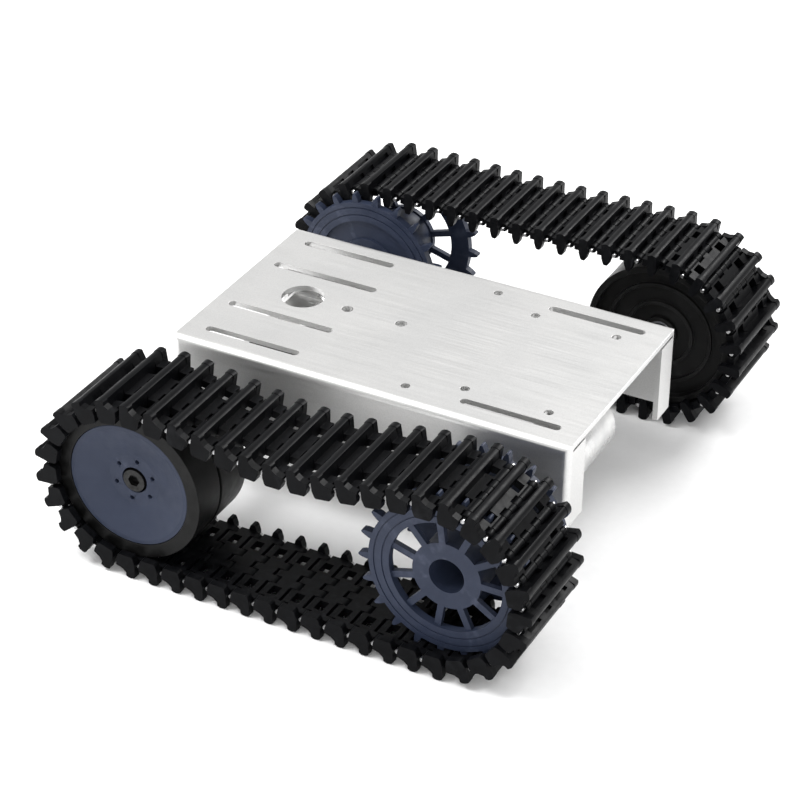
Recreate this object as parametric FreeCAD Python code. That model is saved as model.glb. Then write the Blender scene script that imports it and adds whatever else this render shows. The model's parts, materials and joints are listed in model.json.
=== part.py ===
"""Tracked chassis: a folded aluminium body, two gearmotors, two toothed drive wheels, two plain
idler drums and two tracks of pinned plastic links.

Frame, in millimetres: +X forwards, +Y to the left, +Z up. The origin is on the ground, midway
between the axles and midway between the tracks. Each track's driven sprocket and idler drum are
at opposite ends, so the left half is the right half turned half a turn about the Z axis.
"""
import FreeCAD, Part
import math
import os

Vec = FreeCAD.Vector

# --- Track and wheel layout ------------------------------------------------------------------
LINK_PITCH = 9.2            # between two neighbouring hinge pins
LINKS_PER_TURN = 21         # links, and sprocket teeth, in one full turn
RUN_LINKS = 13              # links in the upper run
WHEELBASE = RUN_LINKS * LINK_PITCH
STEP_DEG = 360.0 / LINKS_PER_TURN
PIN_CIRCLE_R = LINK_PITCH / (2.0 * math.sin(math.radians(STEP_DEG / 2.0)))
CHORD_R = PIN_CIRCLE_R * math.cos(math.radians(STEP_DEG / 2.0))
WRAP_LINKS = LINKS_PER_TURN // 2
TRACK_Y = 90.0              # centre plane of a track, from the body's centre plane

# --- Track link, in its own frame: x along travel from its first pin, z away from the wheel ----
PIN_R = 0.7
PIN_BORE_R = 0.8
PIN_HALF_LENGTH = 18.6
KNUCKLE_R = 1.6
KNUCKLE_ROOM = 1.9
KNUCKLE_ROOM_TOP = 3.1
KNUCKLE_GAP = 0.3
PAD_X0, PAD_X1 = 1.95, 7.25
PAD_HALF_WIDTH = 17.4
PAD_TOP = 1.2
GROUSER_H = 4.9
GROUSER_X = 2.6
GROUSER_BASE, GROUSER_CREST = 3.5, 2.8
BAR_H = 4.75                # between the knobs the bar is slightly lower than its ends
KNOB_HALF, KNOB_SHOULDER = 1.75, 4.3
CHEEK_Y0, CHEEK_Y1 = 17.2, 20.0
OUTER_CHEEK_X1 = 8.35       # the inner plate is only as long as the grouser bar's end is wide
SKIRT_ROOT, SKIRT_TIP = -1.1, -3.9
LEADING_KNUCKLES = ((-16.9, -14.1), (-5.9, -2.1), (2.1, 5.9), (14.1, 16.9))
TRAILING_KNUCKLES = ((-13.8, -6.2), (-1.8, 1.8), (6.2, 13.8))
WINDOW_X0, WINDOW_X1 = 4.1, 7.5
WINDOW_Y0, WINDOW_Y1 = 7.5, 12.5
WINDOW_MID_X = 0.5 * (WINDOW_X0 + WINDOW_X1)
AXLE_Z = CHORD_R + GROUSER_H
SAG_RIGHT, SAG_LEFT = 6.0, 1.0      # drop of each upper run at mid span

# --- Sprocket ---------------------------------------------------------------------------------
WHEEL_R = 28.5
TOOTH_TIP_R = 32.3
TOOTH_HALF_ROOT, TOOTH_HALF_PITCH, TOOTH_HALF_TIP = 1.4, 0.95, 0.6
RIM_INNER_R = 20.8
SPOKE_RING_R = 12.6
SPOKES = 11
SPOKE_W = 2.4
DISC_Y0, DISC_Y1 = 8.5, 11.5
INNER_DISC_Y0 = 20.4        # the inner disc runs beside the track, not under it
WEB_RECESS = 1.0
CLOSED_WEB_T = 1.2          # web of the inner disc, which has no spokes
RIM_GROOVES = (23.2, 26.2)
GROOVE_W, GROOVE_DEPTH = 0.5, 0.4
HUB_R = 12.0
HUB_BORE_R = 6.45
DISC_SCREW_R, DISC_SCREW_PCD_R = 1.2, 9.4
DISC_SCREWS = 4
DISC_SCREW_END = 9.9

# --- Idler drum -------------------------------------------------------------------------------
DRUM_FACE_Y = 15.6
DRUM_WALL = 2.4
DRUM_SPLIT = ((-DRUM_FACE_Y, -2.0), (-0.6, DRUM_FACE_Y))
CAP_R = 23.4
CAP_T = 1.8
CAP_DISH = 4.0
CAP_HUB_R = 10.0
CAP_HOLES, CAP_HOLE_R, CAP_HOLE_PCD_R = 6, 0.8, 7.8
DRUM_HUB_R = 6.6
BEARING_OUTER_R, BEARING_BORE_R, BEARING_W = 5.0, 2.55, 4.0
BEARING_Y = (-7.5, 9.5)

# --- Folded body sheet ------------------------------------------------------------------------
PLATE_L, PLATE_W, WALL_H = 156.0, 92.0, 33.0
SHEET_T = 2.0
BEND_R = 3.0
PLATE_TOP_Z = AXLE_Z + 24.0
FLANGE_W = 13.0
FLANGE_RELIEF = 1.0
SLOT_R = 1.7
LONG_SLOT_LENGTH, LONG_SLOT_X, LONG_SLOT_Y = 43.0, -50.5, 16.5
END_SLOT_LENGTH, END_SLOT_X, END_SLOT_Y = 38.0, 51.0, 36.0
CABLE_HOLE_R, CABLE_HOLE_X = 8.0, -50.5
CENTRE_HOLES_X, CENTRE_HOLE_R = (-32.0, -10.0), 2.15
SIDE_HOLES, SIDE_HOLE_R = ((11.0, 36.8), (30.0, 28.6), (62.0, 28.6)), 1.7

# --- Motor, shaft and axle --------------------------------------------------------------------
GEARBOX_R, GEARBOX_L = 12.5, 21.0
CAN_R, CAN_L, CAN_BORE_R = 12.2, 31.0, 9.4
CAN_FLAT = 10.4
END_CAP_L, END_CAP_PLUG = 2.2, 1.5
BOSS_R, BOSS_L, BOSS_HOLE_R = 3.5, 2.2, 3.8
SHAFT_R, SHAFT_FLAT, SHAFT_L = 2.0, 1.5, 14.0
SHAFT_BUSH_R = 2.05
COUPLING_R, COUPLING_Y0, COUPLING_Y1 = 6.4, 40.0, 6.0
COUPLING_BORE_L = 12.0
MOTOR_SCREW_R, MOTOR_SCREW_PCD_R, MOTOR_SCREW_L = 1.45, 8.5, 7.0
SCREW_CLEAR_R = 1.6
SCREW_HEAD_R, SCREW_HEAD_H = 2.75, 1.8
AXLE_R, AXLE_HEAD_R, AXLE_HEAD_H = 2.5, 4.25, 4.3
AXLE_HOLE_R = 2.6
SPACER_R = 4.0
NUT_AF, NUT_H = 8.0, 4.6
END_GAP = 0.3

BODY_Y = PLATE_W / 2.0
SPROCKET_X = WHEELBASE / 2.0
DRUM_X = -WHEELBASE / 2.0


# --- Small solid helpers ----------------------------------------------------------------------
def box(x0, x1, y0, y1, z0, z1):
    """Axis-aligned block between two corners."""
    return Part.makeBox(x1 - x0, y1 - y0, z1 - z0, Vec(x0, y0, z0))


def rod(radius, y0, y1, x=0.0, z=0.0):
    """Cylinder parallel to Y."""
    return Part.makeCylinder(radius, abs(y1 - y0), Vec(x, min(y0, y1), z), Vec(0, 1, 0))


def tube(outer, inner, y0, y1, x=0.0, z=0.0):
    """Hollow cylinder parallel to Y."""
    return rod(outer, y0, y1, x, z).cut(rod(inner, y0 - 1.0, y1 + 1.0, x, z))


def prism_y(points, y0, y1):
    """Solid with an outline in X and Z; a point between two None marks is an arc's middle."""
    edges = []
    last = Vec(points[0][0], y0, points[0][1])
    index = 1
    closed = list(points) + [points[0]]
    while index < len(closed):
        if closed[index] is None:
            middle = Vec(closed[index + 1][0], y0, closed[index + 1][1])
            end = Vec(closed[index + 3][0], y0, closed[index + 3][1])
            edges.append(Part.Arc(last, middle, end).toShape())
            index += 4
        else:
            end = Vec(closed[index][0], y0, closed[index][1])
            edges.append(Part.makeLine(last, end))
            index += 1
        last = end
    return Part.Face(Part.Wire(edges)).extrude(Vec(0, y1 - y0, 0))


def hexagon(across_flats, y0, y1, x=0.0, z=0.0):
    """Hexagonal prism parallel to Y."""
    corner = across_flats / math.sqrt(3.0)
    angles = [math.radians(60 * k) for k in range(6)]
    points = [(x + corner * math.cos(a), z + corner * math.sin(a)) for a in angles]
    return prism_y(points, y0, y1)


def slot(length, radius, x, y, z0, z1):
    """Round-ended slot cutter along X, standing on Z."""
    half = length / 2.0 - radius
    cutter = box(x - half, x + half, y - radius, y + radius, z0, z1)
    for end in (-half, half):
        cutter = cutter.fuse(Part.makeCylinder(radius, z1 - z0, Vec(x + end, y, z0)))
    return cutter.removeSplitter()


def turned(shape, degrees):
    """Copy turned about the wheel axis, from +X towards +Z."""
    copy = shape.copy()
    copy.rotate(Vec(0, 0, 0), Vec(0, 1, 0), -degrees)
    return copy


def moved(shape, x, y, z):
    copy = shape.copy()
    copy.translate(Vec(x, y, z))
    return copy


# --- Track ------------------------------------------------------------------------------------
def grouser_bar():
    """Raised bar across the link, a little narrower at its crest."""
    low, high = GROUSER_BASE / 2.0, GROUSER_CREST / 2.0
    points = [(GROUSER_X - low, 0.0), (GROUSER_X + low, 0.0), (GROUSER_X + low, PAD_TOP),
              (GROUSER_X + high, BAR_H - 0.4), None, (GROUSER_X, BAR_H), None,
              (GROUSER_X - high, BAR_H - 0.4), (GROUSER_X - low, PAD_TOP)]
    return prism_y(points, -CHEEK_Y0, CHEEK_Y0)


def cheek(y0, y1, x1):
    """End plate of a link out to x1: tapered skirt below, round end of the grouser bar above."""
    knob0, knob1 = GROUSER_X - KNOB_HALF, GROUSER_X + KNOB_HALF
    points = [(knob0, SKIRT_ROOT), (knob0 + 0.7, SKIRT_TIP + 0.5), (knob0 + 1.2, SKIRT_TIP),
              (x1 - 1.2, SKIRT_TIP), (x1 - 0.7, SKIRT_TIP + 0.5), (x1, SKIRT_ROOT)]
    if x1 > knob1:
        points += [(x1, 0.9), (knob1 + 1.6, 1.7), (knob1, 3.0)]
    points += [(knob1, KNOB_SHOULDER), None, (GROUSER_X, GROUSER_H), None, (knob0, KNOB_SHOULDER)]
    return prism_y(points, y0, y1)


def knuckle(x, y0, y1, toward):
    """Hinge eye on the pin line at x, tied to the pad on the side given by toward."""
    eye = rod(KNUCKLE_R, y0, y1, x, 0.0)
    edge = PAD_X0 + 0.2 if toward > 0 else PAD_X1 - 0.2
    arm = box(min(x, edge), max(x, edge), y0, y1, -KNUCKLE_R, PAD_TOP)
    return eye.fuse(arm)


def track_link():
    """One moulded link with interleaving hinge eyes and two windows for the sprocket's teeth.

    The long end plate is on the side that faces away from the body.
    """
    link = box(PAD_X0, PAD_X1, -PAD_HALF_WIDTH, PAD_HALF_WIDTH, -KNUCKLE_R, PAD_TOP)
    parts = [knuckle(0.0, y0, y1, 1) for y0, y1 in LEADING_KNUCKLES]
    parts += [knuckle(LINK_PITCH, y0, y1, -1) for y0, y1 in TRAILING_KNUCKLES]
    parts += [grouser_bar(), cheek(-CHEEK_Y1, -CHEEK_Y0, OUTER_CHEEK_X1),
              cheek(CHEEK_Y0, CHEEK_Y1, GROUSER_X + KNOB_HALF)]
    link = link.multiFuse(parts)
    for x in (0.0, LINK_PITCH):
        link = link.cut(rod(PIN_BORE_R, -CHEEK_Y0, CHEEK_Y0, x))
    for y0, y1 in TRAILING_KNUCKLES:
        room = box(-KNUCKLE_ROOM, KNUCKLE_ROOM, y0 - KNUCKLE_GAP, y1 + KNUCKLE_GAP,
                   -KNUCKLE_ROOM, KNUCKLE_ROOM_TOP)
        link = link.cut(room)
    for y0 in (-WINDOW_Y1, WINDOW_Y0):
        window = box(WINDOW_X0, WINDOW_X1, y0, y0 + WINDOW_Y1 - WINDOW_Y0, -3.0, 3.0)
        link = link.cut(window)
    return link.removeSplitter()


def hinge_pin():
    return rod(PIN_R, -PIN_HALF_LENGTH, PIN_HALF_LENGTH)


def wrap_angles(first_deg, count):
    """Polar angles of the pins round a wheel, clockwise, one more than the links."""
    return [first_deg - STEP_DEG * k for k in range(count + 1)]


def around_wheel(shape, angle_deg, tilt_deg, centre_x):
    """Place a link-frame shape with its first pin on the pin circle at a polar angle."""
    angle = math.radians(angle_deg)
    x = centre_x + PIN_CIRCLE_R * math.cos(angle)
    z = AXLE_Z + PIN_CIRCLE_R * math.sin(angle)
    return moved(turned(shape, tilt_deg), x, -TRACK_Y, z)


def wrapped_links(link, pin, first_deg, centre_x):
    """Links and inner pins that lie on a wheel and turn with it."""
    angles = wrap_angles(first_deg, WRAP_LINKS)
    tilts = [a - 90.0 - STEP_DEG / 2.0 for a in angles]
    links = [around_wheel(link, a, t, centre_x) for a, t in zip(angles[:-1], tilts)]
    pins = [around_wheel(pin, a, 0.0, centre_x) for a in angles[1:-1]]
    return links, pins


def upper_run(link, pin, sag):
    """Links between the two wheels' top pins, travelling towards the sprocket and hanging by sag.

    The play of the pins in their bores gives the little extra length that the sag takes up.
    """
    points = []
    for k in range(RUN_LINKS + 1):
        drop = sag * math.sin(math.pi * k / RUN_LINKS) ** 2
        points.append((DRUM_X + LINK_PITCH * k, AXLE_Z + PIN_CIRCLE_R - drop))
    links = []
    for (x0, z0), (x1, z1) in zip(points[:-1], points[1:]):
        slope = math.atan2(z1 - z0, x1 - x0)
        spare = 0.5 * (math.hypot(x1 - x0, z1 - z0) - LINK_PITCH)
        x, z = x0 + spare * math.cos(slope), z0 + spare * math.sin(slope)
        links.append(moved(turned(link, math.degrees(slope)), x, -TRACK_Y, z))
    pins = [moved(pin, x, -TRACK_Y, z) for x, z in points[1:-1]]
    return links, pins


def lower_run(link, pin):
    """Links on the ground, with one flat link under each axle, travelling towards the drum."""
    z = AXLE_Z - CHORD_R
    starts = [SPROCKET_X + LINK_PITCH * (0.5 - k) for k in range(RUN_LINKS + 1)]
    flipped = turned(link, 180.0)
    links = [moved(flipped, x, -TRACK_Y, z) for x in starts]
    pins = [moved(pin, x, -TRACK_Y, z) for x in starts[1:]]
    return links, pins


# --- Sprocket ---------------------------------------------------------------------------------
def tooth(y0, y1):
    """Tapered tooth standing on the rim along +X."""
    tip_start = TOOTH_TIP_R - 0.6
    points = [(WHEEL_R - 1.0, -TOOTH_HALF_ROOT), (WHEEL_R + 0.8, -TOOTH_HALF_ROOT + 0.15),
              (PIN_CIRCLE_R, -TOOTH_HALF_PITCH), (tip_start, -TOOTH_HALF_TIP),
              None, (TOOTH_TIP_R, 0.0), None, (tip_start, TOOTH_HALF_TIP),
              (PIN_CIRCLE_R, TOOTH_HALF_PITCH), (WHEEL_R + 0.8, TOOTH_HALF_ROOT - 0.15),
              (WHEEL_R - 1.0, TOOTH_HALF_ROOT)]
    return prism_y(points, y0, y1)


def spokes():
    """Spokes of the outer disc, between its hub ring and its rim."""
    spoke = box(SPOKE_RING_R - 1.0, RIM_INNER_R + 0.6, WEB_RECESS - DISC_Y1, -DISC_Y0,
                -SPOKE_W / 2, SPOKE_W / 2)
    return [turned(spoke, 360.0 * k / SPOKES) for k in range(SPOKES)]


def closed_web():
    """Thin plate that closes the inner disc between hub ring and rim."""
    return [tube(RIM_INNER_R + 0.6, SPOKE_RING_R - 1.0, -DISC_Y0 - CLOSED_WEB_T, -DISC_Y0)]


def toothed_disc(web, screw_hole_start):
    """Toothed wheel disc, outer face at -DISC_Y1: rim, web and hub ring, with screw holes."""
    rim = tube(WHEEL_R, RIM_INNER_R, -DISC_Y1, -DISC_Y0)
    parts = web + [tube(SPOKE_RING_R, HUB_BORE_R, WEB_RECESS - DISC_Y1, -DISC_Y0)]
    offset = math.degrees(math.atan((WINDOW_MID_X - LINK_PITCH / 2.0) / CHORD_R))
    for k in range(LINKS_PER_TURN):
        parts.append(turned(tooth(-DISC_Y1 + 0.2, -DISC_Y0), -90.0 - offset + STEP_DEG * k))
    disc = rim.multiFuse(parts)
    for radius in RIM_GROOVES:
        groove = tube(radius + GROOVE_W, radius, -DISC_Y1 - 1.0, -DISC_Y1 + GROOVE_DEPTH)
        disc = disc.cut(groove)
    for hole in screw_circle(DISC_SCREW_R + 0.05, screw_hole_start, -DISC_Y0 + 1.0):
        disc = disc.cut(hole)
    return disc.removeSplitter()


def screw_circle(radius, y0, y1):
    """Rods on the disc screws' circle."""
    rods = []
    for k in range(DISC_SCREWS):
        angle = math.radians(45.0 + 360.0 * k / DISC_SCREWS)
        x, z = DISC_SCREW_PCD_R * math.cos(angle), DISC_SCREW_PCD_R * math.sin(angle)
        rods.append(rod(radius, y0, y1, x, z))
    return rods


def sprocket_hub():
    """Sleeve that spaces the two toothed discs."""
    hub = tube(HUB_R, HUB_BORE_R, -DISC_Y0, INNER_DISC_Y0)
    for hole in screw_circle(DISC_SCREW_R + 0.05, -DISC_Y0 - 1.0, INNER_DISC_Y0 + 1.0):
        hub = hub.cut(hole)
    return hub


def disc_screws():
    """Long screws that clamp the discs to the hub: heads on the inner disc, ends in the outer."""
    seat = INNER_DISC_Y0 + DISC_Y1 - DISC_Y0 - WEB_RECESS
    shanks = screw_circle(DISC_SCREW_R, -DISC_SCREW_END, seat)
    heads = screw_circle(2.1, seat, seat + 1.6)
    return [shank.fuse(head).removeSplitter() for shank, head in zip(shanks, heads)]


def wheel_coupling():
    """Round adapter from the motor shaft to the sprocket hub, with a cross hole for its screw."""
    coupling = rod(COUPLING_R, COUPLING_Y1, COUPLING_Y0)
    bore_end = COUPLING_Y0 - COUPLING_BORE_L
    coupling = coupling.cut(rod(SHAFT_R, bore_end, COUPLING_Y0 + 1.0))
    socket = hexagon(5.0, COUPLING_Y1 - 1.0, COUPLING_Y1 + 3.0)
    cross = Part.makeCylinder(1.5, COUPLING_R + 1.0, Vec(0, bore_end + 7.0, 0))
    return coupling.cut(socket).cut(cross)


def coupling_screw():
    """Set screw that bears on the shaft's flat."""
    y = COUPLING_Y0 - COUPLING_BORE_L + 7.0
    screw = Part.makeCylinder(1.5, COUPLING_R - SHAFT_FLAT - 0.2, Vec(0, y, SHAFT_FLAT))
    drive = Part.makeCylinder(0.75, 1.5, Vec(0, y, COUPLING_R - 1.4))
    return screw.cut(drive)


def motor_shaft():
    """Output shaft with a flat, running in the gearbox nose and clamped in the coupling."""
    y_out = COUPLING_Y0 - COUPLING_BORE_L + 0.5
    shaft = rod(SHAFT_R, y_out, TRACK_Y - BODY_Y + SHEET_T + 4.0)
    flat = box(-SHAFT_R, SHAFT_R, y_out - 1.0, COUPLING_Y0 + 1.0, SHAFT_FLAT, SHAFT_R + 1.0)
    return shaft.cut(flat)


# --- Idler drum -------------------------------------------------------------------------------
def drum_outer_shell():
    """Outer half of the drum, with its web and the long hub that holds both bearings."""
    y0, y1 = DRUM_SPLIT[0]
    tread = tube(WHEEL_R, WHEEL_R - DRUM_WALL, y0, y1)
    lip = tube(WHEEL_R - 0.5, CAP_R + 0.1, y0, y0 + 3.0)
    web = tube(WHEEL_R - 1.0, BEARING_OUTER_R - 0.5, y1 - 3.0, y1)
    hub = tube(DRUM_HUB_R, BEARING_OUTER_R, -DRUM_FACE_Y + CAP_DISH + CAP_T, 13.5)
    shell = tread.multiFuse([lip, web, hub])
    shell = shell.cut(rod(BEARING_OUTER_R, -DRUM_FACE_Y, 14.0))
    return shell.removeSplitter()


def drum_inner_shell():
    """Inner half of the drum, its web stiffened by two raised rings."""
    y0, y1 = DRUM_SPLIT[1]
    tread = tube(WHEEL_R, WHEEL_R - DRUM_WALL, y0, y1)
    web = tube(WHEEL_R - 1.0, DRUM_HUB_R, 9.8, 12.2)
    rings = [tube(radius + 1.4, radius, 12.0, 13.6) for radius in (12.0, 19.5)]
    return tread.multiFuse([web] + rings).removeSplitter()


def drum_cap():
    """Dished front disc with six small holes round the bearing hole."""
    face, hub_face = -DRUM_FACE_Y + 0.2, -DRUM_FACE_Y + CAP_DISH
    outline = [(CAP_R, face), (CAP_R - 1.6, face), (CAP_HUB_R, hub_face),
               (BEARING_OUTER_R - 0.1, hub_face), (BEARING_OUTER_R - 0.1, hub_face + CAP_T),
               (CAP_HUB_R, hub_face + CAP_T), (CAP_R - 1.6, face + CAP_T), (CAP_R, face + CAP_T)]
    points = [Vec(radius, y, 0) for radius, y in outline]
    wire = Part.makePolygon(points + [points[0]])
    cap = Part.Face(wire).revolve(Vec(0, 0, 0), Vec(0, 1, 0), 360)
    for k in range(CAP_HOLES):
        angle = math.radians(20.0 + 360.0 * k / CAP_HOLES)
        x, z = CAP_HOLE_PCD_R * math.cos(angle), CAP_HOLE_PCD_R * math.sin(angle)
        cap = cap.cut(rod(CAP_HOLE_R, -DRUM_FACE_Y, 0.0, x, z))
    return cap


def drum_bearings():
    """Two sealed ball bearings, each as one ring with shallow seal grooves."""
    rings = []
    for y0 in BEARING_Y:
        ring = tube(BEARING_OUTER_R, BEARING_BORE_R, y0, y0 + BEARING_W)
        for face in (y0 - 1.0, y0 + BEARING_W - 0.25):
            ring = ring.cut(tube(4.2, 3.3, face, face + 1.25))
        rings.append(ring)
    return rings


# --- Body sheet and what is fixed to it ---------------------------------------------------------
def body_shell():
    """Channel of folded sheet: top, two side walls and four inturned end flanges."""
    half_l, half_w = PLATE_L / 2.0, PLATE_W / 2.0
    bottom = PLATE_TOP_Z - WALL_H
    outer = box(-half_l, half_l, -half_w, half_w, bottom, PLATE_TOP_Z)
    long_edges = [e for e in outer.Edges if abs(e.BoundBox.XLength - PLATE_L) < 1e-6
                  and e.BoundBox.ZMax > PLATE_TOP_Z - 1e-6]
    uprights = [e for e in outer.Edges if abs(e.BoundBox.ZLength - WALL_H) < 1e-6]
    outer = outer.makeFillet(BEND_R, long_edges + uprights)
    inner = box(-half_l + SHEET_T, half_l - SHEET_T, -half_w + SHEET_T, half_w - SHEET_T,
                bottom - 5.0, PLATE_TOP_Z - SHEET_T)
    long_edges = [e for e in inner.Edges if e.BoundBox.XLength > PLATE_L / 2
                  and e.BoundBox.ZMin > PLATE_TOP_Z - SHEET_T - 1e-6]
    uprights = [e for e in inner.Edges if e.BoundBox.ZLength > WALL_H / 2]
    inner = inner.makeFillet(BEND_R - SHEET_T, long_edges + uprights)
    shell = outer.cut(inner)
    mouth = half_w - FLANGE_W
    shell = shell.cut(box(-half_l - 1.0, half_l + 1.0, -mouth, mouth,
                          bottom - 1.0, PLATE_TOP_Z - SHEET_T))
    relief_z = PLATE_TOP_Z - SHEET_T - FLANGE_RELIEF
    for x0 in (-half_l - 1.0, half_l - SHEET_T - 0.5):
        relief = box(x0, x0 + SHEET_T + 1.5, -half_w + BEND_R, half_w - BEND_R,
                     relief_z, relief_z + FLANGE_RELIEF)
        shell = shell.cut(relief)
    return shell


def plate_openings():
    """Cutters for the plate's slots and holes."""
    z0, z1 = PLATE_TOP_Z - SHEET_T - 1.0, PLATE_TOP_Z + 1.0
    cutters = [Part.makeCylinder(CABLE_HOLE_R, z1 - z0, Vec(CABLE_HOLE_X, 0, z0))]
    for x in CENTRE_HOLES_X:
        cutters.append(Part.makeCylinder(CENTRE_HOLE_R, z1 - z0, Vec(x, 0, z0)))
    for side in (-1, 1):
        cutters.append(slot(LONG_SLOT_LENGTH, SLOT_R, LONG_SLOT_X, side * LONG_SLOT_Y, z0, z1))
        for end in (-END_SLOT_X, END_SLOT_X):
            cutters.append(slot(END_SLOT_LENGTH, SLOT_R, end, side * END_SLOT_Y, z0, z1))
        for x, y in SIDE_HOLES:
            cutters.append(Part.makeCylinder(SIDE_HOLE_R, z1 - z0, Vec(x, side * y, z0)))
    return cutters


def wall_openings():
    """Cutters in the right wall: motor nose, two motor screws and the drum's axle."""
    y0, y1 = -BODY_Y - 1.0, -BODY_Y + SHEET_T + 1.0
    cutters = [rod(BOSS_HOLE_R, y0, y1, SPROCKET_X, AXLE_Z), rod(AXLE_HOLE_R, y0, y1, DRUM_X, AXLE_Z)]
    for side in (-1, 1):
        x = SPROCKET_X + side * MOTOR_SCREW_PCD_R
        cutters.append(rod(SCREW_CLEAR_R, y0, y1, x, AXLE_Z))
    return cutters


def body_sheet():
    shell = body_shell()
    for cutter in plate_openings():
        shell = shell.cut(cutter)
    for cutter in wall_openings():
        shell = shell.cut(cutter).cut(half_turn(cutter))
    return shell


def motor_gearbox():
    """Round gearbox with a nose through the wall and two blind screw holes in its face."""
    y0 = -BODY_Y + SHEET_T
    gearbox = rod(GEARBOX_R, y0, y0 + GEARBOX_L).fuse(rod(BOSS_R, y0 - BOSS_L, y0))
    gearbox = gearbox.cut(tube(GEARBOX_R + 1.0, GEARBOX_R - 0.4, y0 + 1.6, y0 + 2.4))
    gearbox = gearbox.cut(rod(SHAFT_BUSH_R, y0 - BOSS_L - 1.0, y0 + 4.5))
    for side in (-1, 1):
        x = side * MOTOR_SCREW_PCD_R
        gearbox = gearbox.cut(rod(MOTOR_SCREW_R + 0.05, y0 - 1.0, y0 + MOTOR_SCREW_L - 1.5, x))
    return moved(gearbox, SPROCKET_X, 0, AXLE_Z)


def motor_can():
    """Motor case with two flats, open at the rear for the end cap."""
    y0 = -BODY_Y + SHEET_T + GEARBOX_L
    can = rod(CAN_R, y0, y0 + CAN_L)
    flats = box(-CAN_R, CAN_R, y0 + 2.0, y0 + CAN_L, -CAN_FLAT, CAN_FLAT)
    can = can.common(flats.fuse(rod(CAN_R, y0, y0 + 2.0)))
    can = can.cut(rod(CAN_BORE_R, y0 + 1.5, y0 + CAN_L + 1.0))
    return moved(can.removeSplitter(), SPROCKET_X, 0, AXLE_Z)


def motor_end_cap():
    """Insulating end cap plugged into the case, with two solder tabs."""
    y0 = -BODY_Y + SHEET_T + GEARBOX_L + CAN_L
    cap = rod(CAN_BORE_R, y0 - END_CAP_PLUG, y0 + END_CAP_L)
    cap = cap.fuse(rod(3.2, y0, y0 + END_CAP_L + 1.4))
    for side in (-1, 1):
        cap = cap.fuse(box(side * 6.4 - 0.3, side * 6.4 + 0.3, y0, y0 + 6.6, -1.4, 1.4))
    return moved(cap.removeSplitter(), SPROCKET_X, 0, AXLE_Z)


def motor_screws():
    """Two pan-head screws that hold a gearbox to the wall."""
    screws = []
    for side in (-1, 1):
        x = SPROCKET_X + side * MOTOR_SCREW_PCD_R
        shank = rod(MOTOR_SCREW_R, -BODY_Y, -BODY_Y + MOTOR_SCREW_L, x, AXLE_Z)
        head = rod(SCREW_HEAD_R, -BODY_Y - SCREW_HEAD_H, -BODY_Y, x, AXLE_Z)
        drive = hexagon(2.0, -BODY_Y - SCREW_HEAD_H - 1.0, -BODY_Y - 0.7, x, AXLE_Z)
        screws.append(shank.fuse(head).cut(drive))
    return screws


def axle_bolt():
    """Socket-head bolt on which the drum's bearings turn."""
    head_y = -TRACK_Y + BEARING_Y[0] - END_GAP
    bolt = rod(AXLE_R, head_y, -BODY_Y + SHEET_T + NUT_H + 1.5)
    bolt = bolt.fuse(rod(AXLE_HEAD_R, head_y - AXLE_HEAD_H, head_y))
    socket = hexagon(4.0, head_y - AXLE_HEAD_H - 1.0, head_y - AXLE_HEAD_H + 2.4)
    return moved(bolt.cut(socket), DRUM_X, 0, AXLE_Z)


def axle_spacer():
    """Sleeve between the wall and the drum's inner bearing."""
    y0 = -TRACK_Y + BEARING_Y[1] + BEARING_W + END_GAP
    sleeve = tube(SPACER_R, AXLE_R, y0, -BODY_Y)
    return moved(sleeve, DRUM_X, 0, AXLE_Z)


def axle_nut():
    y0 = -BODY_Y + SHEET_T
    nut = hexagon(NUT_AF, y0, y0 + NUT_H - 1.2)
    nut = nut.fuse(rod(NUT_AF / 2.0 - 0.4, y0, y0 + NUT_H)).cut(rod(AXLE_R, y0 - 1.0, y0 + NUT_H + 1.0))
    return moved(nut.removeSplitter(), DRUM_X, 0, AXLE_Z)


# --- Output -------------------------------------------------------------------------------------
def half_turn(shape):
    """The same shape on the other side of the vehicle."""
    copy = shape.copy()
    copy.rotate(Vec(0, 0, 0), Vec(0, 0, 1), 180.0)
    return copy


def on_wheel(shapes, centre_x):
    """Wheel-frame shapes moved to a wheel of the right track."""
    return [moved(s, centre_x, -TRACK_Y, AXLE_Z) for s in shapes]


def write_node(name, shapes):
    shape = shapes[0] if len(shapes) == 1 else Part.makeCompound(shapes)
    shape.exportStep("parts/" + name + ".step")
    print(name, len(shape.Solids), "solids, volume", round(shape.Volume, 1), shape.isValid())


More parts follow.
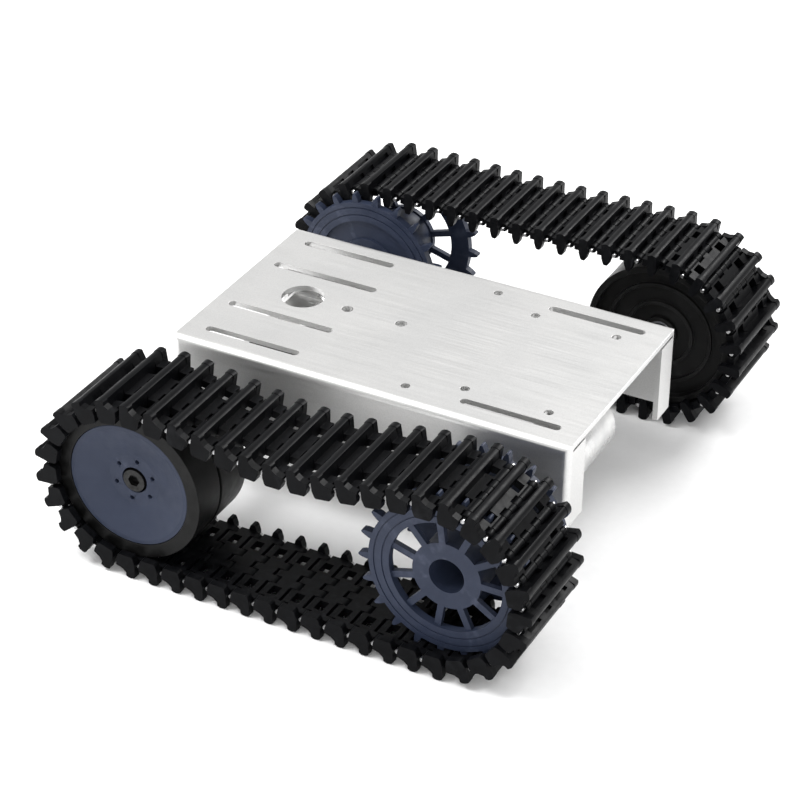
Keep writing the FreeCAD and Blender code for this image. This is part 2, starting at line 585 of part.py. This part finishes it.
def side_nodes(sag):
    """Every node that exists once on each side, in its place on the right side."""
    link, pin = track_link(), hinge_pin()
    outer_disc = toothed_disc(spokes(), -DISC_SCREW_END - 0.1)
    inner_disc = toothed_disc(closed_web(), -DISC_Y1 - 1.0).mirror(Vec(0, 0, 0), Vec(0, 1, 0))
    inner_disc = moved(inner_disc, 0, INNER_DISC_Y0 - DISC_Y0, 0)
    nodes = {
        "sprocket_outer_disc": on_wheel([outer_disc], SPROCKET_X),
        "sprocket_inner_disc": on_wheel([inner_disc], SPROCKET_X),
        "sprocket_hub": on_wheel([sprocket_hub()], SPROCKET_X),
        "sprocket_screws": on_wheel(disc_screws(), SPROCKET_X),
        "wheel_coupling": on_wheel([wheel_coupling()], SPROCKET_X),
        "coupling_screw": on_wheel([coupling_screw()], SPROCKET_X),
        "motor_shaft": on_wheel([motor_shaft()], SPROCKET_X),
        "drum_outer_shell": on_wheel([drum_outer_shell()], DRUM_X),
        "drum_inner_shell": on_wheel([drum_inner_shell()], DRUM_X),
        "drum_cap": on_wheel([drum_cap()], DRUM_X),
        "drum_bearings": on_wheel(drum_bearings(), DRUM_X),
        "motor_gearbox": [motor_gearbox()],
        "motor_can": [motor_can()],
        "motor_end_cap": [motor_end_cap()],
        "axle_bolt": [axle_bolt()],
        "axle_spacer": [axle_spacer()],
    }
    runs = {
        "sprocket": wrapped_links(link, pin, 90.0, SPROCKET_X),
        "drum": wrapped_links(link, pin, -90.0 - STEP_DEG / 2.0, DRUM_X),
        "upper": upper_run(link, pin, sag),
        "lower": lower_run(link, pin),
    }
    for place, (links, pins) in runs.items():
        nodes["track_" + place + "_links"] = links
        nodes["track_" + place + "_pins"] = pins
    return nodes


def main():
    os.makedirs("parts", exist_ok=True)
    write_node("body_sheet", [body_sheet()])
    screws, nut = motor_screws(), axle_nut()
    write_node("motor_screws", screws + [half_turn(s) for s in screws])
    write_node("axle_nuts", [nut, half_turn(nut)])
    for name, shapes in side_nodes(SAG_RIGHT).items():
        write_node(name + "_right", shapes)
    for name, shapes in side_nodes(SAG_LEFT).items():
        write_node(name + "_left", [half_turn(s) for s in shapes])


main()
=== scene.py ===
"""Looks of the tracked chassis: satin aluminium body, black moulded tracks, blue-grey wheels."""
import json
import math

import bpy
from mathutils import Matrix, Vector


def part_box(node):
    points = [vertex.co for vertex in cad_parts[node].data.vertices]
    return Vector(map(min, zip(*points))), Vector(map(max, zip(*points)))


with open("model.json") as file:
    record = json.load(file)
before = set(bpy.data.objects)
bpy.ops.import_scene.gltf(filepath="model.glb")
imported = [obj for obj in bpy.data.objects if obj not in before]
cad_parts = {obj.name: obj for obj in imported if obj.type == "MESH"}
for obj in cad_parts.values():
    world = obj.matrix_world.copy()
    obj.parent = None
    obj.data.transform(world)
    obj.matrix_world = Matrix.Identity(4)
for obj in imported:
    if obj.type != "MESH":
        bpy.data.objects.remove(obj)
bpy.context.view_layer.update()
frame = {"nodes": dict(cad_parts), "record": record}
NODES = frame["nodes"]
MM = 0.001

# Sockets of a Mix node in its colour mode.
MIX_A, MIX_B, MIX_RESULT = 6, 7, 2


# --- Node-graph helpers -----------------------------------------------------------------------
class Graph:
    """A material's node tree, with short calls for what every material here uses."""

    def __init__(self, name):
        self.material = bpy.data.materials.new(name)
        self.material.use_nodes = True
        self.tree = self.material.node_tree
        self.shader = self.tree.nodes["Principled BSDF"]
        self.coords = self.add("ShaderNodeTexCoord")

    def add(self, kind, **values):
        node = self.tree.nodes.new(kind)
        for key, value in values.items():
            setattr(node, key, value)
        return node

    def link(self, output, target):
        self.tree.links.new(output, target)

    def stretched(self, scale):
        """Object coordinates, in metres, multiplied along each axis."""
        mapping = self.add("ShaderNodeMapping")
        mapping.inputs["Scale"].default_value = scale
        self.link(self.coords.outputs["Object"], mapping.inputs["Vector"])
        return mapping.outputs["Vector"]

    def noise(self, scale, detail=3.0, stretch=(1.0, 1.0, 1.0)):
        node = self.add("ShaderNodeTexNoise")
        node.inputs["Scale"].default_value = scale
        node.inputs["Detail"].default_value = detail
        self.link(self.stretched(stretch), node.inputs["Vector"])
        return node.outputs["Fac"]

    def remap(self, source, low, high, out_low, out_high):
        node = self.add("ShaderNodeMapRange")
        for index, value in enumerate((low, high, out_low, out_high), start=1):
            node.inputs[index].default_value = value
        self.link(source, node.inputs["Value"])
        return node.outputs["Result"]

    def ramp(self, source, stops):
        node = self.add("ShaderNodeValToRGB")
        elements = node.color_ramp.elements
        while len(elements) < len(stops):
            elements.new(0.5)
        for element, (position, color) in zip(elements, stops):
            element.position = position
            element.color = (*color, 1.0)
        self.link(source, node.inputs["Fac"])
        return node.outputs["Color"]

    def blend(self, factor, first, second):
        """First colour where factor is 0, second where it is 1."""
        node = self.add("ShaderNodeMix", data_type="RGBA")
        self.link(factor, node.inputs["Factor"])
        self.link(first, node.inputs[MIX_A])
        self.link(second, node.inputs[MIX_B])
        return node.outputs[MIX_RESULT]

    def darken(self, first, second):
        """Product of two colours."""
        node = self.add("ShaderNodeMix", data_type="RGBA", blend_type="MULTIPLY")
        node.inputs["Factor"].default_value = 1.0
        self.link(first, node.inputs[MIX_A])
        self.link(second, node.inputs[MIX_B])
        return node.outputs[MIX_RESULT]

    def edges(self, low=0.52, high=0.60):
        """1 on convex edges, 0 elsewhere."""
        geometry = self.add("ShaderNodeNewGeometry")
        return self.remap(geometry.outputs["Pointiness"], low, high, 0.0, 1.0)

    def bump(self, height, distance, strength=1.0, under=None):
        node = self.add("ShaderNodeBump")
        node.inputs["Distance"].default_value = distance
        node.inputs["Strength"].default_value = strength
        self.link(height, node.inputs["Height"])
        if under is not None:
            self.link(under, node.inputs["Normal"])
        return node.outputs["Normal"]

    def set(self, **values):
        for key, value in values.items():
            self.shader.inputs[key.replace("_", " ")].default_value = value

    def feed(self, name, output):
        self.link(output, self.shader.inputs[name])


def gray(value, blue=0.0):
    return (value, value, value + blue)


# --- Materials --------------------------------------------------------------------------------
def sheet_aluminium():
    """Satin anodised sheet: very fine grain, faint rolling lines along X."""
    g = Graph("sheet_aluminium")
    g.set(Metallic=1.0)
    grain = g.noise(2600.0, 2.0)
    rolling = g.noise(30.0, 4.0, (1.0, 55.0, 55.0))
    clouds = g.noise(26.0, 3.0)
    base = g.ramp(clouds, [(0.25, (0.66, 0.66, 0.655)), (0.75, (0.75, 0.745, 0.735))])
    speck = g.ramp(grain, [(0.30, (0.90, 0.90, 0.90)), (0.70, (1.0, 1.0, 1.0))])
    g.feed("Base Color", g.darken(base, speck))
    g.feed("Roughness", g.remap(rolling, 0.3, 0.7, 0.36, 0.50))
    fine = g.bump(grain, 0.02 * MM, 0.55)
    g.feed("Normal", g.bump(rolling, 0.02 * MM, 0.35, fine))
    return g.material


def turned_metal(name, dark, light, roughness, axis_scale=(1.0, 1.0, 1.0), metallic=1.0):
    """Machined metal with fine tool lines and slight tarnish."""
    g = Graph(name)
    g.set(Metallic=metallic)
    lines = g.noise(140.0, 3.0, axis_scale)
    tarnish = g.noise(180.0, 3.0)
    g.feed("Base Color", g.ramp(tarnish, [(0.3, dark), (0.7, light)]))
    g.feed("Roughness", g.remap(lines, 0.3, 0.7, roughness - 0.07, roughness + 0.10))
    g.feed("Normal", g.bump(lines, 0.03 * MM, 0.6))
    return g.material


def moulded_plastic(name, dark, light, scuff_highlight_color, roughness, grain_depth=0.02, scuff_highlight_amount=0.5, shine=0.5):
    """Injection-moulded plastic: spark-eroded grain, uneven sheen, paler convex edges that are partly
    scuff wear and partly a painted highlight along the crests.
    """
    g = Graph(name)
    g.set(Specular_IOR_Level=shine)
    patches = g.noise(90.0, 4.0)
    grain = g.noise(4200.0, 2.0)
    sheen = g.noise(320.0, 4.0)
    body = g.ramp(patches, [(0.3, dark), (0.72, light)])
    # Painted highlight and wear: convex edges blend towards the pale colour, partly as scuffs, partly
    # as lamp highlights painted along the crests.
    worn_and_highlit_edges = g.add("ShaderNodeMath", operation="MULTIPLY")
    g.link(g.edges(), worn_and_highlit_edges.inputs[0])
    g.link(g.remap(sheen, 0.42, 0.68, 0.0, scuff_highlight_amount), worn_and_highlit_edges.inputs[1])
    pale_scuff_highlight = g.ramp(sheen, [(0.2, scuff_highlight_color), (0.8, tuple(1.25 * c for c in scuff_highlight_color))])
    g.feed("Base Color", g.blend(worn_and_highlit_edges.outputs[0], body, pale_scuff_highlight))
    g.feed("Roughness", g.remap(sheen, 0.25, 0.75, roughness - 0.08, roughness + 0.10))
    coarse = g.bump(sheen, 0.03 * MM, 0.35)
    g.feed("Normal", g.bump(grain, grain_depth * MM, 0.5, coarse))
    return g.material


def black_steel():
    """Oil-blacked steel of bolts and screws."""
    g = Graph("black_steel")
    g.set(Metallic=0.85)
    patches = g.noise(700.0, 3.0)
    g.feed("Base Color", g.ramp(patches, [(0.3, gray(0.018)), (0.75, gray(0.045))]))
    g.feed("Roughness", g.remap(patches, 0.3, 0.7, 0.30, 0.46))
    g.feed("Normal", g.bump(patches, 0.02 * MM, 0.5))
    return g.material


def make_materials():
    return {
        "sheet_aluminium": sheet_aluminium(),
        "turned_aluminium": turned_metal("turned_aluminium", (0.60, 0.61, 0.62), (0.74, 0.74, 0.75),
                                         0.30, (1.0, 9.0, 1.0)),
        "motor_steel": turned_metal("motor_steel", (0.50, 0.50, 0.50), (0.64, 0.64, 0.63), 0.28),
        "zinc_steel": turned_metal("zinc_steel", (0.52, 0.53, 0.55), (0.70, 0.70, 0.70), 0.26),
        "pin_steel": turned_metal("pin_steel", (0.42, 0.42, 0.43), (0.60, 0.60, 0.60), 0.30),
        "bearing_steel": turned_metal("bearing_steel", (0.10, 0.10, 0.11), (0.22, 0.22, 0.23), 0.30),
        "black_steel": black_steel(),
        # Third colour of each plastic is its pale edge colour: partly scuff wear, partly a painted
        # crest highlight.
        "track_plastic": moulded_plastic("track_plastic", (0.0022, 0.0023, 0.0028),
                                         (0.0042, 0.0044, 0.0052), (0.034, 0.036, 0.040),
                                         0.34, 0.03, 0.16, 0.06),
        "drum_black": moulded_plastic("drum_black", gray(0.003), gray(0.005), gray(0.04), 0.38,
                                      0.02, 0.4, 0.15),
        "black_aluminium": turned_metal("black_aluminium", gray(0.010), gray(0.022), 0.34,
                                        (1.0, 9.0, 1.0), 0.6),
        "wheel_plastic": moulded_plastic("wheel_plastic", (0.020, 0.027, 0.050),
                                         (0.027, 0.035, 0.062), (0.075, 0.085, 0.125), 0.46,
                                         0.03, 0.4, 0.25),
        "end_cap_plastic": moulded_plastic("end_cap_plastic", gray(0.015), gray(0.03), gray(0.1), 0.45),
    }


# --- CAD nodes: finish and edges ----------------------------------------------------------------
SHARP_DEG = 32.0
BEVELS_MM = {"body_sheet": 0.25, "track_": 0.28, "sprocket_": 0.22, "drum_": 0.22, "axle_": 0.2,
             "wheel_coupling": 0.3, "motor_": 0.2, "coupling_screw": 0.08}


def soften_edges(obj, width_mm):
    """Weld the tessellation, round sharp edges a little and even out the normals."""
    weld = obj.modifiers.new("weld", "WELD")
    weld.merge_threshold = 0.002 * MM
    bevel = obj.modifiers.new("bevel", "BEVEL")
    bevel.width = width_mm * MM
    bevel.segments = 2
    bevel.limit_method = "ANGLE"
    bevel.angle_limit = math.radians(SHARP_DEG)
    normals = obj.modifiers.new("normals", "WEIGHTED_NORMAL")
    normals.keep_sharp = True
    normals.weight = 60


def dress_nodes(materials):
    slots = {s["node"]: s["material_slot"] for s in frame["record"]["subparts"]}
    for name, obj in NODES.items():
        for index in range(len(obj.material_slots)):
            obj.material_slots[index].material = materials[slots[name]]
        for prefix, width in BEVELS_MM.items():
            if name.startswith(prefix) and not name.endswith(("pins_right", "pins_left")):
                soften_edges(obj, width)
                break


# --- Stage, lights and camera -------------------------------------------------------------------
HUB_LOW, HUB_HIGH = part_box("sprocket_hub_right")
AXLE_Z = 0.5 * (HUB_LOW.z + HUB_HIGH.z)
LENS_MM, SENSOR_MM = 120.3, 36.0
AZIMUTH, ELEVATION, ROLL = math.radians(27.39), math.radians(32.15), math.radians(0.68)
DISTANCE, SHIFT_RIGHT, SHIFT_UP = 971.27 * MM, -9.018 * MM, -4.652 * MM
FLOOR_HALF, FLOOR_DROP = 3.0, 0.2 * MM
AIM = (0.0, 0.0, 30.0 * MM)
LIGHTS = (("key", (-0.55, -0.35, 0.95), (0.5, 0.35), 9.0),
          ("back", (0.35, 0.85, 0.75), (0.6, 0.25), 9.0),
          ("front", (0.5, -0.9, 0.45), (0.4, 0.3), 1.6))


def make_camera():
    """Camera that looks down at the near side, turned to the left of the chassis's side view."""
    back = Vector((math.cos(ELEVATION) * math.sin(AZIMUTH),
                   -math.cos(ELEVATION) * math.cos(AZIMUTH), math.sin(ELEVATION)))
    right = (-back).cross(Vector((0, 0, 1))).normalized()
    up = right.cross(-back)
    level_right = right * math.cos(ROLL) + up * math.sin(ROLL)
    level_up = up * math.cos(ROLL) - right * math.sin(ROLL)
    place = back * DISTANCE + level_right * SHIFT_RIGHT + level_up * SHIFT_UP
    place += Vector((0, 0, AXLE_Z))
    data = bpy.data.cameras.new("camera")
    data.lens = LENS_MM
    data.sensor_width = SENSOR_MM
    data.clip_start = 0.05
    data.clip_end = 30.0
    camera = bpy.data.objects.new("camera", data)
    bpy.context.scene.collection.objects.link(camera)
    axes = Matrix((level_right, level_up, back)).transposed()
    camera.matrix_world = Matrix.Translation(place) @ axes.to_4x4()
    bpy.context.scene.camera = camera


def area_light(name, place, size, watts):
    """Soft box aimed at the middle of the chassis."""
    data = bpy.data.lights.new(name, "AREA")
    data.shape = "RECTANGLE"
    data.size, data.size_y = size
    data.energy = watts
    light = bpy.data.objects.new(name, data)
    bpy.context.scene.collection.objects.link(light)
    light.location = place
    light.rotation_euler = (Vector(AIM) - Vector(place)).to_track_quat("-Z", "Y").to_euler()


def make_stage():
    """White floor under the model, a white sky and three soft boxes."""
    mesh = bpy.data.meshes.new("floor")
    corners = [(x * FLOOR_HALF, y * FLOOR_HALF, 0) for x, y in ((-1, -1), (1, -1), (1, 1), (-1, 1))]
    mesh.from_pydata(corners, [], [(0, 1, 2, 3)])
    floor = bpy.data.objects.new("floor", mesh)
    bpy.context.scene.collection.objects.link(floor)
    floor.location.z = -FLOOR_DROP
    g = Graph("floor_white")
    paper = g.noise(300.0, 2.0)
    g.feed("Base Color", g.ramp(paper, [(0.3, gray(0.93)), (0.7, gray(0.95))]))
    g.feed("Roughness", g.remap(paper, 0.3, 0.7, 0.75, 0.85))
    mesh.materials.append(g.material)
    world = bpy.data.worlds.new("world")
    world.use_nodes = True
    background = world.node_tree.nodes["Background"]
    background.inputs["Color"].default_value = (1.0, 1.0, 1.0, 1.0)
    background.inputs["Strength"].default_value = 0.92
    bpy.context.scene.world = world
    for light in LIGHTS:
        area_light(*light)
    bpy.context.scene.view_settings.view_transform = "Standard"
    bpy.context.scene.view_settings.look = "None"


dress_nodes(make_materials())
make_stage()
make_camera()
